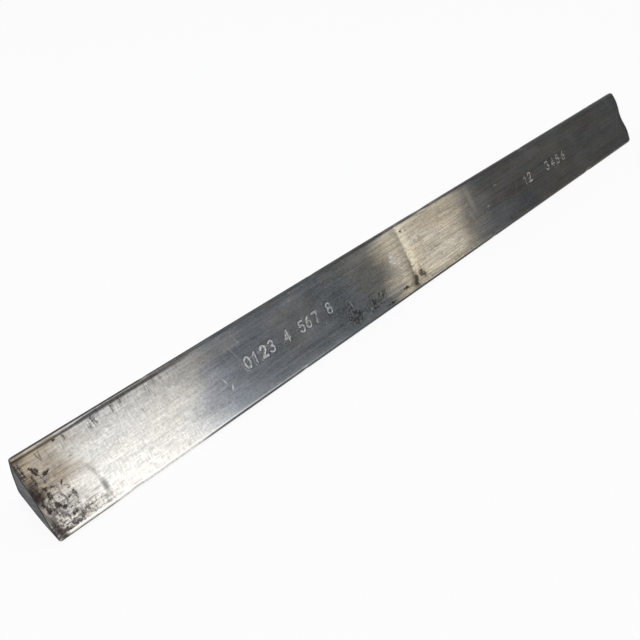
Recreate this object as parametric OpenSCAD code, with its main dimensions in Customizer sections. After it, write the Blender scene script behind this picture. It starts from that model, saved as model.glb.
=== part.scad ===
// Triangular bar of tin-silver solder, lying on one of its three equal faces.
//
// X runs along the bar, from the near end to the far end, and Z is up. The origin is under the
// middle of the bar, on the surface that it lies on. The face towards -Y is the one that is stamped.
// Both ends were cut off by the same shear, so they lean the same way, and the cut has pulled the
// metal in a little across the middle of each end.

/* [Bar] */
// Length of the bar, measured along its long edges
length = 305; // [150:1:450]
// Width of each face, measured across its two rounded edges
face_w = 25.4; // [16:0.1:40]
// Radius of the three long edges
edge_r = 1.0; // [0.4:0.1:3]

/* [Cut ends] */
// Depth of the hollow in the middle of the near end
near_hollow = 0.2; // [0:0.1:2]
// Rounding of the near end's corners, seen square to the stamped face
near_corner_r = 0.5; // [0.2:0.1:3]
// Depth of the hollow in the middle of the far end
far_hollow = 1.1; // [0:0.1:2]
// Rounding of the far end's corners, seen square to the stamped face
far_corner_r = 1.4; // [0.2:0.1:3]
// Distance of each end's two lobes from the middle line of the stamped face
lobe_at = 7.1; // [4:0.1:14]
// Lean of both cuts, in degrees, away from square to the stamped face
cut_lean = 1; // [-4:0.5:4]

/* [Hidden] */

// Angle at each edge of the three-sided section, and the directions of its three edges
section_angle = 60;
section_turns = [90, 210, 330];

// Triangle through the centres of the three edge roundings
core_side = face_w - 2 * edge_r;
core_reach = core_side / sqrt(3);
// Distance from the middle of the section to each face
face_reach = core_reach / 2 + edge_r;

// Half the width over which an end is cut
half_w = face_w / 2;

// Room by which the cutting shapes pass the metal
cut_margin = face_w / 5;
// Number of straight steps across an end, and of sides on a round edge
end_steps = 50;
edge_sides = 48;

function on_circle(radius, angle) = radius * [cos(angle), sin(angle)];

// How far an end lies inside the full length, at a distance s from the middle line of the stamped
// face: a wave with a hollow in the middle and a lobe on each side, then the rounding of the corner
function end_wave(s, hollow) = hollow * pow(cos(90 * s / lobe_at), 2);
function end_corner(s, corner_r) =
    let (past = max(0, abs(s) - (half_w - corner_r)))
    corner_r - sqrt(max(0, pow(corner_r, 2) - pow(past, 2)));
function end_inset(s, hollow, corner_r) = end_wave(s, hollow) + end_corner(s, corner_r);

// Section of the bar: three flat faces joined by round edges
module section() {
    polygon([
        for (turn = section_turns, side = [-section_angle, section_angle])
            on_circle(core_reach, turn) + on_circle(edge_r, turn + side)
    ]);
    for (turn = section_turns)
        translate(on_circle(core_reach, turn)) circle(r = edge_r, $fn = edge_sides);
}

// Puts what is drawn in X and Y onto the stamped face, with Z pointing out of the metal
module on_stamped_face() {
    translate([0, 0, face_reach])
        rotate([section_angle, 0, 0])
            translate([0, 0, face_reach])
                children();
}

// Everything that the shear takes off beyond the end at x = length / 2
module cut_off(hollow, corner_r, lean) {
    reach = half_w + cut_margin;
    last = -end_inset(half_w, hollow, corner_r);
    outline = concat(
        [[last, -reach]],
        [
            for (i = [0 : end_steps])
                let (s = -half_w + face_w * i / end_steps)
                [-end_inset(s, hollow, corner_r), s]
        ],
        [[last, reach], [face_w, reach], [face_w, -reach]]
    );
    on_stamped_face()
        translate([length / 2, 0, 0])
            rotate([0, lean, 0])
                translate([0, 0, -face_w - cut_margin])
                    linear_extrude(height = face_w + 2 * cut_margin)
                        polygon(outline);
}

module bar() {
    color("silver")
        difference() {
            translate([0, 0, face_reach])
                rotate([90, 0, 90])
                    linear_extrude(height = length + 2 * cut_margin, center = true)
                        section();
            cut_off(far_hollow, far_corner_r, cut_lean);
            // The near end is cut the same way, and leans with the far end
            mirror([1, 0, 0]) cut_off(near_hollow, near_corner_r, -cut_lean);
        }
}

bar();
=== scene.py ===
# %% [markdown]
# # A triangular bar of tin solder
# The object is one length of tin alloy with an equal-sided triangular section, about twelve times as
# long as its face is wide. Its long edges are slightly rounded, both ends are cut off, and one face has
# numbers punched into it. Years of handling show as dull grey film, brown dirt at one end and small
# scratches. The lesson builds the bar as one Geometry Nodes sweep and gives it one layered metal finish.

# %% Frame
import math
import random

import bmesh
import bpy
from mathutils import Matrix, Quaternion, Vector


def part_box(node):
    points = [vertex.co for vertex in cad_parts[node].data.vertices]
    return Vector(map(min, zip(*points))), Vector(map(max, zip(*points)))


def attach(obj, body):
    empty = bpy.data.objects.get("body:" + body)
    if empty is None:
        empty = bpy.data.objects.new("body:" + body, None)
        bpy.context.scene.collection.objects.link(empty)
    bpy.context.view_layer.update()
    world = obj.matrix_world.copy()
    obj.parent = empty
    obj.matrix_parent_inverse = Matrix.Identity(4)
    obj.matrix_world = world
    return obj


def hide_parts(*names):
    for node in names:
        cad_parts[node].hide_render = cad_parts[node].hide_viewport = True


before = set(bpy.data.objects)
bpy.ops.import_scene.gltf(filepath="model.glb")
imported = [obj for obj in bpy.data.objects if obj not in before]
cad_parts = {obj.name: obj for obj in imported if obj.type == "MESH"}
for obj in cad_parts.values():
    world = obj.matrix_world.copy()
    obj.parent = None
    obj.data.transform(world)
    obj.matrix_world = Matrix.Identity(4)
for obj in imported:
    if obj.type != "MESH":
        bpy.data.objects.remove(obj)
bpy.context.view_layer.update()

# %% [markdown]
# ## Sizes
# Everything is in metres, in the frame of the solid part: X along the bar, Z up, and the stamped face
# sloping down towards -Y. The section's sizes are worked out from the solid's box, so that the looks
# can't drift away from it: an equal-sided triangle with rounded edges has a width and a height that
# together give the radius of the edges.

# %% Sizes
MM = 0.001
SIN60 = math.sin(math.radians(60))

box_low, box_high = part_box("bar")
half_length = box_high.x
face_w = box_high.y - box_low.y
edge_r = (box_high.z - face_w * SIN60) / (2 - 2 * SIN60)
core_side = face_w - 2 * edge_r
face_reach = core_side / (2 * math.sqrt(3)) + edge_r

face_up = Vector((0, 0.5, SIN60))
face_out = Vector((0, -SIN60, 0.5))
face_middle = Vector((0, 0, face_reach)) + face_reach * face_out
print("face width", round(face_w / MM, 2), "mm, edge radius", round(edge_r / MM, 2), "mm")


def along(widths):
    """The X of a place that lies this many face widths from the near end."""
    return -half_length + widths * face_w


# %% [markdown]
# ## Camera
# The photographed bar runs from the lower left corner to the upper right one. The camera stands beyond
# the near end, in front of the stamped face and above it, and is turned a little about its own axis.
# Place, target, turn and lens were found by laying the solid's outline over the photographed one.

# %% Camera
camera_place = Vector((-167.4, -146.9, 138.7)) * MM
camera_target = Vector((-46.95, 0.0, 3.4)) * MM
camera_turn = math.radians(-8.1)
camera_lens_mm = 38.07
camera_sensor_mm = 36.0
nearest_seen = 5 * MM


def new_object(name, data):
    """Puts an object with this data into the scene."""
    thing = bpy.data.objects.new(name, data)
    bpy.context.collection.objects.link(thing)
    return thing


camera = new_object("camera", bpy.data.cameras.new("camera"))
camera.location = camera_place
camera.rotation_mode = "QUATERNION"
camera.rotation_quaternion = (
    (camera_target - camera_place).to_track_quat("-Z", "Y") @ Quaternion((0, 0, 1), camera_turn)
)
camera.data.sensor_width = camera_sensor_mm
camera.data.lens = camera_lens_mm
camera.data.clip_start = nearest_seen
bpy.context.scene.camera = camera
print("camera", round((camera_target - camera_place).length / MM), "mm from its target")

# %% [markdown]
# ## Formulas in node trees
# A node tree for a real object is mostly arithmetic, and arithmetic reads badly as a list of nodes and
# links. The small class below stands for a number that a tree works out, so that a formula can be
# written as in plain Python, and each sign in it adds one Math node. The same class serves the tree
# that makes the shape and the tree that makes the finish.


# %% Formulas in node trees
class Field:
    """A number or a vector that a node tree works out."""

    def __init__(self, tree, socket):
        self.tree = tree
        self.socket = socket

    def __add__(self, other):
        return calc(self.tree, "ADD", self, other)

    def __sub__(self, other):
        return calc(self.tree, "SUBTRACT", self, other)

    def __rsub__(self, other):
        return calc(self.tree, "SUBTRACT", other, self)

    def __mul__(self, other):
        return calc(self.tree, "MULTIPLY", self, other)

    def __truediv__(self, other):
        return calc(self.tree, "DIVIDE", self, other)

    __radd__ = __add__
    __rmul__ = __mul__


def plug(tree, value, socket):
    """Links a field to a socket, or sets a plain value on it."""
    if isinstance(value, Field):
        tree.links.new(value.socket, socket)
    else:
        socket.default_value = value


def add_node(tree, kind, inputs=(), **settings):
    """Adds a node with these settings and named inputs."""
    node = tree.nodes.new(kind)
    for name, value in settings.items():
        setattr(node, name, value)
    for name, value in dict(inputs).items():
        plug(tree, value, node.inputs[name])
    return node


def out(node, name=0):
    """What a node gives at one of its outputs."""
    return Field(node.id_data, node.outputs[name])


def calc(tree, operation, *values):
    """One Math node."""
    node = add_node(tree, "ShaderNodeMath", operation=operation)
    for value, socket in zip(values, node.inputs):
        plug(tree, value, socket)
    return out(node)


def share(field, low, high, kind="LINEAR"):
    """How far the field has come from low to high, from 0 to 1."""
    node = add_node(
        field.tree,
        "ShaderNodeMapRange",
        {"Value": field, "From Min": low, "From Max": high},
        interpolation_type=kind,
    )
    return out(node)


def ease(field, low, high):
    """As share, with a soft start and a soft end."""
    return share(field, low, high, "SMOOTHSTEP")


def fade(field, low, high):
    """1 up to low, and softly down to 0 at high."""
    return 1 - ease(field, low, high)


def band(field, low, start, end, high):
    """0 up to low, 1 from start to end, and 0 again from high."""
    return ease(field, low, start) * fade(field, end, high)


def greatest(first, *others):
    """The greatest of several fields at each place."""
    for other in others:
        first = calc(first.tree, "MAXIMUM", first, other)
    return first


def dot(vector, direction):
    """How far a vector reaches in a direction."""
    node = add_node(vector.tree, "ShaderNodeVectorMath", operation="DOT_PRODUCT")
    plug(vector.tree, vector, node.inputs[0])
    node.inputs[1].default_value = direction
    return out(node, "Value")


def scaled(place, factors, shift):
    """The place with its X, Y and Z multiplied by these factors and then shifted.

    A finish has a Mapping node for this. A shape's tree doesn't, and uses vector arithmetic."""
    if place.tree.type == "SHADER":
        given = {"Vector": place, "Scale": factors, "Location": shift}
        return out(add_node(place.tree, "ShaderNodeMapping", given))
    node = add_node(place.tree, "ShaderNodeVectorMath", operation="MULTIPLY_ADD")
    for value, socket in zip((place, factors, shift), node.inputs):
        plug(place.tree, value, socket)
    return out(node)


def noise(place, feature_mm, detail=2.0, roughness=0.5, start=(0.0, 0.0, 0.0)):
    """Noise whose features have this size in millimetres along X, Y and Z."""
    stretched = scaled(place, [1 / (size * MM) for size in feature_mm], start)
    node = add_node(
        place.tree,
        "ShaderNodeTexNoise",
        {"Vector": stretched, "Scale": 1.0, "Detail": detail, "Roughness": roughness},
    )
    return out(node, "Fac")


print("helpers ready")

# %% [markdown]
# ## Punched numbers
# The face carries a row of characters, each struck with a hand punch, so they are single strokes that
# stand a little crooked. A font gives outlines, not strokes, so each digit is drawn here from lines and
# arcs on a cell one unit high. The strokes become one curve object on the face, and the bar's own tree
# then presses every point of the metal down that lies near a stroke.


# %% Strokes of the digits
def line(*points):
    """Points that straight lines join."""
    return list(points)


def arc(centre, radii, start, end, steps=14):
    """Points on part of an ellipse, from one angle in degrees to another."""
    angles = [math.radians(start + (end - start) * i / steps) for i in range(steps + 1)]
    return [(centre[0] + radii[0] * math.cos(a), centre[1] + radii[1] * math.sin(a)) for a in angles]


DIGITS = {
    "0": [arc((0.27, 0.5), (0.27, 0.5), 0, 360, 24)],
    "1": [line((0.1, 0.8), (0.3, 1.0), (0.3, 0.0))],
    "2": [arc((0.27, 0.73), (0.26, 0.27), 170, -30) + line((0.0, 0.0), (0.54, 0.0))],
    "3": [
        arc((0.26, 0.76), (0.24, 0.24), 150, -90),
        arc((0.26, 0.26), (0.27, 0.26), 90, -150),
    ],
    "4": [line((0.42, 0.0), (0.42, 1.0), (0.0, 0.3), (0.56, 0.3))],
    "5": [line((0.5, 1.0), (0.08, 1.0), (0.05, 0.56)) + arc((0.26, 0.32), (0.27, 0.32), 125, -150)],
    "6": [
        arc((0.27, 0.3), (0.26, 0.3), 0, 360, 20),
        arc((0.56, 0.3), (0.55, 0.7), 105, 180),
    ],
    "7": [line((0.0, 1.0), (0.54, 1.0), (0.2, 0.0))],
    "8": [
        arc((0.27, 0.76), (0.22, 0.24), 0, 360, 20),
        arc((0.27, 0.26), (0.27, 0.26), 0, 360, 20),
    ],
}

digit_h = 3.5 * MM
punch_tilt = math.radians(4)
punch_slip = 0.16 * MM


def struck(row, base_s, seed):
    """The strokes of a row of digits, as points on the stamped face, each digit a little crooked."""
    rng = random.Random(seed)
    strokes = []
    for digit, widths in row:
        tilt = rng.uniform(-punch_tilt, punch_tilt)
        slip_x = rng.uniform(-punch_slip, punch_slip)
        slip_s = rng.uniform(-punch_slip, punch_slip)
        for stroke in DIGITS[digit]:
            points = []
            for u, v in stroke:
                x = along(widths) + slip_x + digit_h * (u - v * math.tan(tilt))
                s = base_s + slip_s + digit_h * (v + u * math.tan(tilt))
                points.append(face_middle + Vector((x, 0, 0)) + s * face_up)
            strokes.append(points)
    return strokes


# Each digit with the distance of its left side from the near end, in face widths; a digit that is
# listed twice was struck twice, because the punch bounced
MIDDLE_ROW = [
    ("0", 2.69), ("0", 2.70), ("1", 2.81), ("2", 2.95), ("2", 2.955), ("3", 3.075),
    ("4", 3.33),
    ("5", 3.58), ("6", 3.705), ("7", 3.83), ("7", 3.838),
    ("8", 4.08),
]
FAR_ROW = [
    ("1", 8.66), ("2", 8.80), ("2", 8.806),
    ("3", 9.33), ("4", 9.49), ("5", 9.66), ("6", 9.82),
]
row_base_s = -1.75 * MM

strokes = struck(MIDDLE_ROW, row_base_s, seed=3) + struck(FAR_ROW, row_base_s, seed=8)

stroke_curve = bpy.data.curves.new("punch_strokes", "CURVE")
stroke_curve.dimensions = "3D"
for points in strokes:
    spline = stroke_curve.splines.new("POLY")
    spline.points.add(len(points) - 1)
    for target, point in zip(spline.points, points):
        target.co = (*point, 1.0)
punch_strokes = new_object("punch_strokes", stroke_curve)
print("strokes", len(strokes))

# %% [markdown]
# ## The finish of the tin
# Tin that has lain about is bright metal under a thin grey film, with dirt where hands and benches left
# it. A single colour would look like plastic, so the finish is built in layers, from the bare metal
# upwards. Every layer reads its place on the bar: x along it, s up the stamped face from its middle
# line, and h out of that face, all in metres. Marks that are listed one by one use two plainer numbers,
# the distance from the near end and the distance down from the top edge, both in face widths.

# %% Places on the bar
tin = bpy.data.materials.new("tin")
tin.use_nodes = True
paint = tin.node_tree
shader = paint.nodes["Principled BSDF"]

place = out(paint.nodes.new("ShaderNodeTexCoord"), "Object")
to_face = {
    "Vector": place,
    "Rotation": (math.radians(-60), 0, 0),
    "Location": (0, -face_middle.dot(face_up), -face_middle.dot(face_out)),
}
face_place = out(add_node(paint, "ShaderNodeMapping", to_face))
x = dot(face_place, (1, 0, 0))
s = dot(face_place, (0, 1, 0))
h = dot(face_place, (0, 0, 1))
across = (x + half_length) / face_w
down = 0.5 - s / face_w
on_stamped_face = ease(h, -2.0 * MM, -0.5 * MM)

# Sockets of a Mix node that mixes colours: its share, the two colours and the result
MIX_SHARE, MIX_BELOW, MIX_ABOVE, MIX_RESULT = 0, 6, 7, 2


def blend(amount, below, above, kind="MIX"):
    """Lays one colour over another; a plain colour is given as red, green and blue."""
    node = add_node(paint, "ShaderNodeMix", data_type="RGBA", blend_type=kind)
    plug(paint, amount, node.inputs[MIX_SHARE])
    for layer, socket in ((below, MIX_BELOW), (above, MIX_ABOVE)):
        plug(paint, layer if isinstance(layer, Field) else (*layer, 1.0), node.inputs[socket])
    return out(node, MIX_RESULT)


def stained(amount, below, stain):
    """A colour under a see-through stain."""
    return blend(amount, below, blend(1.0, below, stain, "MULTIPLY"))


def shaded(below, factor):
    """A colour made darker or lighter by a factor."""
    parts = {"Red": factor, "Green": factor, "Blue": factor}
    return blend(1.0, below, out(add_node(paint, "ShaderNodeCombineColor", parts)), "MULTIPLY")


print("middle of the stamped face in mm:", [round(value / MM, 2) for value in face_middle])

# %% [markdown]
# ### Film
# The film isn't even: the near end is almost bare and bright, the middle is blue-grey, a straw-coloured
# stretch follows, and the far half is dark. These tones are partly tarnish and partly painted reflection
# of what the stamped face mirrors. A colour ramp along the bar holds these few tones, and noise shifts
# the place at which it is read, so that the tones run into each other unevenly.

# %% Film
BARE_TIN = (0.765, 0.752, 0.725)
STRAW = (0.65, 0.597, 0.512)
# Tones along the bar: partly tarnish, partly painted reflection
FILM_AND_REFLECTION_TONES = [
    (0.0, BARE_TIN),
    (1.8, BARE_TIN),
    (2.4, (0.36, 0.375, 0.395)),
    (3.7, (0.345, 0.36, 0.375)),
    (4.4, (0.222, 0.242, 0.255)),
    (5.1, (0.20, 0.212, 0.218)),
    (5.5, STRAW),
    (6.7, STRAW),
    (7.2, (0.25, 0.248, 0.24)),
    (7.7, (0.165, 0.17, 0.175)),
    (8.6, (0.147, 0.151, 0.154)),
    (9.0, (0.195, 0.194, 0.186)),
    (10.2, (0.212, 0.21, 0.198)),
    (12.0, (0.188, 0.187, 0.178)),
]
OTHER_FACES_DULL = (0.30, 0.305, 0.31)
OTHER_FACES_CLEAN = (0.46, 0.455, 0.445)

film_shift = 0.5 * (noise(place, (16, 6, 6), 3.0) - 0.5) + 0.25 * (noise(place, (22, 0.7, 0.7)) - 0.5)
film_across = across + film_shift
length_in_widths = 2 * half_length / face_w
ramp = add_node(paint, "ShaderNodeValToRGB", {"Fac": share(film_across, 0.0, length_in_widths)})
while len(ramp.color_ramp.elements) < len(FILM_AND_REFLECTION_TONES):
    ramp.color_ramp.elements.new(0.5)
for stop, (widths, colour) in zip(ramp.color_ramp.elements, FILM_AND_REFLECTION_TONES):
    stop.position = widths / length_in_widths
    stop.color = (*colour, 1.0)
uneven = ease(noise(place, (70, 11, 11), 4.0, 0.6), 0.35, 0.65)
other_faces = blend(uneven, OTHER_FACES_DULL, OTHER_FACES_CLEAN)
film_and_reflection = blend(on_stamped_face, other_faces, out(ramp, "Color"))
print("film tones", len(FILM_AND_REFLECTION_TONES))

# %% [markdown]
# ### Lines and clouds
# The bar was drawn lengthwise, so broad bands and fine lines run along it everywhere. The film also lies
# in clouds, and it shifts a little between blue and olive as thin films do. Noise that is long in one
# direction gives bands and lines; noise that is about as long as it is wide gives clouds.

# %% Lines and clouds
bands = noise(place, (260, 4.2, 4.2), 1.0)
long_lines = noise(place, (120, 0.55, 0.55), 3.0, 0.6)
fine_lines = noise(place, (24, 0.36, 0.36), 3.0, 0.65)
streaks = noise(place, (9, 1.2, 1.2), 5.0, 0.68)
clouds = noise(place, (8, 4.5, 4.5), 4.0, 0.6)
tints = noise(place, (18, 8, 8), 1.5, 0.5, start=(7.0, 3.0, 1.0))
grit = noise(place, (0.8, 0.5, 0.5), 4.0, 0.7)
print("finish nodes with lines and clouds", len(paint.nodes))

# %% [markdown]
# ### Tone of each stretch
# The stretches of the stamped face differ in more than their colour: bare metal shows few lines, the
# straw-coloured stretch shows strong ones, and the slate-grey one is cloudy. Along the two long edges
# some stretches are painted lighter and others darker: this is painted sheen and painted shade.

# %% Stretches of the stamped face
bare = on_stamped_face * fade(film_across, 1.7, 2.4)
straw = on_stamped_face * (ease(film_across, 5.15, 5.5) - ease(film_across, 6.75, 7.2))
slate = on_stamped_face * (1 - bare) * fade(across, 4.6, 5.2)
after_straw = on_stamped_face * band(across, 6.7, 7.0, 7.2, 7.6)
far_stretch = on_stamped_face * band(across, 7.8, 8.4, 9.8, 10.4)
print("finish nodes with stretches", len(paint.nodes))

# %% Tone
grain = 1.5 - 0.5 * bare + 0.4 * straw + 0.5 * slate * ease(across, 3.4, 4.2)
line_contrast = 1 - 0.5 * bare + 0.5 * straw
cloud_contrast = 0.34 + 0.3 * straw + 0.3 * slate
tone = 1.0 + 0.30 * (bands - 0.5) + cloud_contrast * (clouds - 0.5) + grain * (grit - 0.5)
tone = tone + line_contrast * (0.7 * (long_lines - 0.5) + 0.8 * (fine_lines - 0.5))
tone = tone + (0.5 + 0.6 * straw) * (streaks - 0.5)

# How much painted sheen (lighter) or painted shade (darker) each stretch gets, and in which part of the
# face's height
PAINTED_SHEEN_AND_SHADE = [
    (-0.05, bare, ease(down, 0.7, 0.9)),
    (0.16, slate, ease(down, 0.77, 0.83) + 0.5 * fade(down, 0.24, 0.34)),
    (-0.22, on_stamped_face * ease(across, 6.6, 7.4), ease(down, 0.6, 1.0)),
    (-0.40, straw * ease(across, 5.4, 5.8), ease(down, 0.83, 0.93)),
    (0.40, after_straw, fade(down, 0.15, 0.32)),
    (0.42, straw, fade(down, 0.06, 0.10)),
    (0.26, far_stretch, fade(down, 0.30, 0.45)),
]
for amount, stretch, part in PAINTED_SHEEN_AND_SHADE:
    tone = tone + amount * stretch * part
colour = shaded(film_and_reflection, tone)
roughness = 0.29 + 0.06 * (long_lines - 0.5) + 0.10 * (clouds - 0.5)
print("finish nodes with tones", len(paint.nodes))

# %% Tint
BLUE_TINT = (0.95, 0.995, 1.06)
OLIVE_TINT = (1.05, 1.006, 0.94)

bluer = 0.16 * ease(down, 0.15, 0.35) + 0.10 * fade(across, 2.6, 3.2)
tints = tints + slate * (0.06 * ease(across, 3.2, 3.5) - bluer)
tint_share = 0.2 + 0.6 * on_stamped_face - 0.6 * bare - 0.3 * straw
colour = stained(tint_share, colour, blend(ease(tints, 0.35, 0.65), BLUE_TINT, OLIVE_TINT))
print("finish nodes with tints", len(paint.nodes))

# %% [markdown]
# ### Rubs
# The near part has been rubbed crosswise as well, against other bars, which leaves a fine lattice on the
# bright metal. Below the top edge the near part is darker, as painted shade, with short dark streaks
# hanging from the edge.

# %% Rubs
cross_rubs = noise(face_place, (0.45, 2.4, 2.4), 3.0, 0.7)
short_rubs = noise(face_place, (2.6, 0.45, 0.45), 3.0, 0.7)
patches = noise(face_place, (2.8, 2.0, 2.0), 4.0, 0.6)
lattice = 0.85 * (cross_rubs - 0.5) + 0.75 * (short_rubs - 0.5) + 0.3 * (patches - 0.5)
hanging = ease(noise(face_place, (0.7, 7, 7), 4.0, 0.7), 0.50, 0.66) * fade(down, 0.06, 0.26)
hanging = hanging * ease(noise(face_place, (7, 30, 30), 2.0), 0.45, 0.6)
# Painted shade just below the top edge
painted_shade_below_edge = 0.10 * fade(down, 0.04, 0.40) + 0.22 * fade(down, 0.035, 0.085)
top_shade = bare * (0.55 * hanging + painted_shade_below_edge) * ease(across, 0.3, 0.8)
colour = shaded(colour, 1.0 + 1.2 * bare * lattice - top_shade)
print("finish nodes with rubs", len(paint.nodes))

# %% [markdown]
# ### Marks
# Some marks are singular, so they are listed one by one: spots of dirt, scratches, glints. Each is an
# oval with a soft rim, which may be long and thin. One node group works out the oval, and every mark is
# one use of it. The place is shifted by fine noise first, so that rims are ragged and not drawn with a
# compass.

# %% Oval group
OVAL_INPUTS = (
    "Across", "Down", "Centre Across", "Centre Down",
    "Half Length", "Half Width", "Turn Cosine", "Turn Sine", "Core",
)


def oval_tree():
    """The node group that works out one oval mark."""
    tree = bpy.data.node_groups.new("oval_mark", "ShaderNodeTree")
    for name in OVAL_INPUTS:
        tree.interface.new_socket(name, in_out="INPUT", socket_type="NodeSocketFloat")
    tree.interface.new_socket("Mask", in_out="OUTPUT", socket_type="NodeSocketFloat")
    given = tree.nodes.new("NodeGroupInput")
    size = {name: out(given, name) for name in OVAL_INPUTS}
    off_across = size["Across"] - size["Centre Across"]
    off_down = size["Down"] - size["Centre Down"]
    lengthwise = (off_across * size["Turn Cosine"] + off_down * size["Turn Sine"]) / size["Half Length"]
    crosswise = (off_down * size["Turn Cosine"] - off_across * size["Turn Sine"]) / size["Half Width"]
    reach = calc(tree, "SQRT", lengthwise * lengthwise + crosswise * crosswise)
    made = tree.nodes.new("NodeGroupOutput")
    plug(tree, fade(reach, size["Core"], 1.0), made.inputs["Mask"])
    return tree


oval_group = oval_tree()
elsewhere = (5.0, 5.0, 5.0)
ragged_across = across + 0.12 * (noise(face_place, (1.5, 1.5, 1.5), 5.0, 0.7) - 0.5)
ragged_down = down + 0.12 * (noise(face_place, (1.5, 1.5, 1.5), 5.0, 0.7, elsewhere) - 0.5)
fine_across = across + 0.03 * (noise(face_place, (4, 4, 4), 3.0) - 0.5)
fine_down = down + 0.03 * (noise(face_place, (4, 4, 4), 3.0, start=elsewhere) - 0.5)
RAGGED_RIMS = (ragged_across, ragged_down)
SMOOTH_RIMS = (fine_across, fine_down)


def marks(rows, core, rims):
    """The strongest of several marks at each place of the stamped face.

    Each row gives the centre across and down, half the length and width, all in face widths,
    the turn in degrees, and the strength. The core is the share of a mark that has no rim."""
    layers = []
    for centre_across, centre_down, half_long, half_wide, turn, strength in rows:
        given = (
            *rims, centre_across, centre_down, half_long, half_wide,
            math.cos(math.radians(turn)), math.sin(math.radians(turn)), core,
        )
        node = add_node(paint, "ShaderNodeGroup", dict(zip(OVAL_INPUTS, given)), node_tree=oval_group)
        layers.append(strength * out(node))
    return greatest(*layers) * on_stamped_face


print("oval group", len(oval_group.nodes), "nodes")

# %% [markdown]
# ### Dirt
# The near end has been gripped and set down in dirt: a tan stain covers it, brown-black spots lie along
# the cut, and a grey lattice of smears covers its lower corner. A thin dark line just below the top edge
# of the near part is painted shadow, and dark ticks close along the near cut are painted shade at its
# rim;
# both are laid on together with the dirt. More dirt sits in the middle and at the crease. Spots are
# listed one by one, patches of specks are areas in which noise decides where a speck lies, and ticks are
# thin and straight. Dirt, and the painted shade laid with it, makes the metal rougher, but it lies so
# thin that some of the metal's sheen comes through, so the metallic value drops only a little.

# %% Spots of dirt
DIRT_SPOTS = [
    (0.14, 0.235, 0.070, 0.038, 60, 1.1),
    (0.225, 0.31, 0.055, 0.038, -10, 0.9),
    (0.18, 0.385, 0.040, 0.024, -20, 0.55),
    (0.14, 0.45, 0.050, 0.038, 90, 0.85),
    (0.145, 0.54, 0.080, 0.040, 105, 0.7),
    (0.20, 0.47, 0.070, 0.016, 8, 0.5),
    (0.075, 0.65, 0.090, 0.026, 85, 0.75),
    (0.165, 0.66, 0.085, 0.036, 62, 0.8),
    (0.215, 0.71, 0.060, 0.032, 110, 0.65),
    (0.30, 0.48, 0.042, 0.020, -60, 0.75),
    (0.30, 0.65, 0.038, 0.022, -70, 0.65),
    (0.36, 0.65, 0.110, 0.026, 98, 0.5),
    (0.05, 0.83, 0.090, 0.036, 65, 0.7),
    (0.14, 0.93, 0.110, 0.030, 4, 0.65),
    (0.28, 0.81, 0.075, 0.042, 0, 0.65),
    (0.060, 0.50, 0.20, 0.036, 90, 0.7),
    (0.10, 0.33, 0.130, 0.016, 88, 0.55),
    (0.165, 0.30, 0.110, 0.016, 78, 0.5),
    (0.045, 0.18, 0.150, 0.018, 90, 0.6),
    (0.09, 0.47, 0.110, 0.034, 90, 0.5),
    (0.12, 0.71, 0.130, 0.024, 85, 0.5),
    (0.255, 0.60, 0.080, 0.022, 75, 0.45),
    (0.34, 0.55, 0.070, 0.018, 60, 0.45),
    (0.19, 0.80, 0.060, 0.034, 20, 0.5),
    (0.31, 0.88, 0.130, 0.024, 0, 0.45),
    (0.44, 0.065, 0.028, 0.022, 90, 0.75),
    (0.54, 0.10, 0.060, 0.024, 105, 0.5),
    (0.87, 0.09, 0.085, 0.026, 80, 0.6),
    (0.82, 0.14, 0.100, 0.020, 92, 0.45),
    (0.90, 0.12, 0.090, 0.020, 85, 0.45),
    (1.10, 0.10, 0.090, 0.022, 90, 0.45),
    (1.22, 0.08, 0.060, 0.020, 90, 0.40),
    (4.43, 0.86, 0.080, 0.050, -30, 0.42),
    (4.82, 0.78, 0.090, 0.030, -15, 0.42),
    (4.94, 0.74, 0.050, 0.030, -40, 0.42),
    (5.10, 0.93, 0.180, 0.026, 0, 0.5),
    (5.44, 0.862, 0.080, 0.024, 6, 0.9),
    (5.665, 0.86, 0.115, 0.055, -62, 1.1),
    (5.80, 0.80, 0.090, 0.065, -30, 0.55),
    (5.85, 0.84, 0.080, 0.055, 40, 0.50),
    (5.83, 0.70, 0.085, 0.022, 80, 0.5),
    (5.77, 0.13, 0.032, 0.026, 0, 0.75),
    (5.86, 0.16, 0.040, 0.014, 15, 0.4),
    (6.04, 0.32, 0.040, 0.022, 0, 0.35),
    (7.52, 0.955, 0.070, 0.024, 0, 0.7),
    (8.04, 0.90, 0.045, 0.030, 0, 0.5),
]
print("spots of dirt", len(DIRT_SPOTS))

# %% Patches of specks and dark ticks
DIRTY_PATCHES = [
    (0.06, 0.86, 0.18, 0.10, 80, 1.2),
    (0.20, 0.91, 0.26, 0.07, 0, 1.0),
    (0.08, 0.55, 0.30, 0.09, 88, 0.8),
    (0.24, 0.68, 0.24, 0.16, 60, 0.6),
    (4.45, 0.80, 0.22, 0.19, 0, 1.0),
    (4.80, 0.81, 0.26, 0.14, 0, 0.9),
    (5.00, 0.74, 0.12, 0.10, 0, 0.8),
    (4.42, 0.64, 0.16, 0.09, 0, 0.7),
]
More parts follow.
